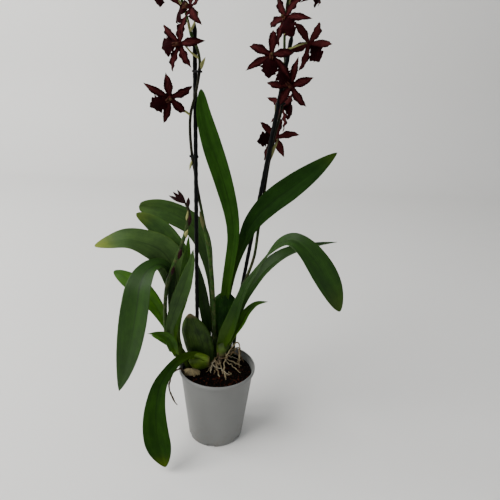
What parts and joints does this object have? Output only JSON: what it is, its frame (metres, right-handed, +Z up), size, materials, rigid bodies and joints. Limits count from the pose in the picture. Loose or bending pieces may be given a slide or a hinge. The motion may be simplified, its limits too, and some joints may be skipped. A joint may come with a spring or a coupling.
{
  "type": "potted orchid plant",
  "caption": "Leafy orchid with pseudobulbs, arching strap leaves and staked spikes of star-shaped dark blooms, in a round tapered pot of bark mix.",
  "frame": {"origin": "middle of the pot's flat base, where the plant stands on the floor", "axes": "+Z up along the pot's axis; -Y towards the front, where the long leaf hangs over the rim; +X to the right seen from the front"},
  "size_m": [0.3533, 0.2091, 0.741],
  "materials": {
    "pot": "light grey, faintly satin injection-moulded plastic",
    "mix": "dark brown bark chips, damp",
    "stake": "black, smooth plastic",
    "bulb": "dark green, finely ribbed, waxy",
    "young_bulb": "fresh green sheath, satin",
    "old_bulb": "dry tan sheath, wrinkled",
    "shoot": "green folded leaf bases, satin",
    "leaf": "mid green, leathery, satin",
    "leaf_dark": "dark green, leathery, satin",
    "spike": "olive brown stem with pale green bracts",
    "young_spike": "dark purple brown stem and buds",
    "bloom": "dark burgundy petals, velvety",
    "root": "beige, dry and papery",
    "rhizome": "brown, woody"
  },
  "bodies": {
    "root": {"pot": "pot", "stake_left": "stake", "stake_right": "stake", "tie_left_low": "stake", "tie_left_high": "stake", "tie_right": "stake", "bulb_front": "bulb", "bulb_back": "bulb", "bulb_young": "young_bulb", "bulb_old": "old_bulb", "shoot_left": "shoot", "shoot_right": "shoot", "rhizome": "rhizome", "leaf_tall": "leaf_dark", "leaf_upright_right": "leaf_dark", "leaf_arched": "leaf", "leaf_outer_right": "leaf", "leaf_small_right": "leaf", "leaf_inner_right": "leaf_dark", "leaf_drooping": "leaf_dark", "leaf_back_left": "leaf", "leaf_far_left": "leaf", "leaf_high_left": "leaf", "leaf_second_left": "leaf", "leaf_blue_green": "leaf", "leaf_inner_left": "leaf", "leaf_recurved": "leaf", "leaf_low_left": "leaf", "leaf_over_rim": "leaf", "spike_left": "spike", "spike_right": "spike", "spike_young": "young_spike", "bloom_left_1": "bloom", "bloom_left_2": "bloom", "bloom_left_3": "bloom", "bloom_left_4": "bloom", "bloom_left_5": "bloom", "bloom_right_1": "bloom", "bloom_right_2": "bloom", "bloom_right_3": "bloom", "bloom_right_4": "bloom", "bloom_right_5": "bloom", "bloom_right_6": "bloom", "bloom_right_7": "bloom", "bloom_right_8": "bloom", "roots_front": "root", "roots_right": "root", "root_outside": "root", "potting_mix": "mix"}
  },
  "joints": []
}
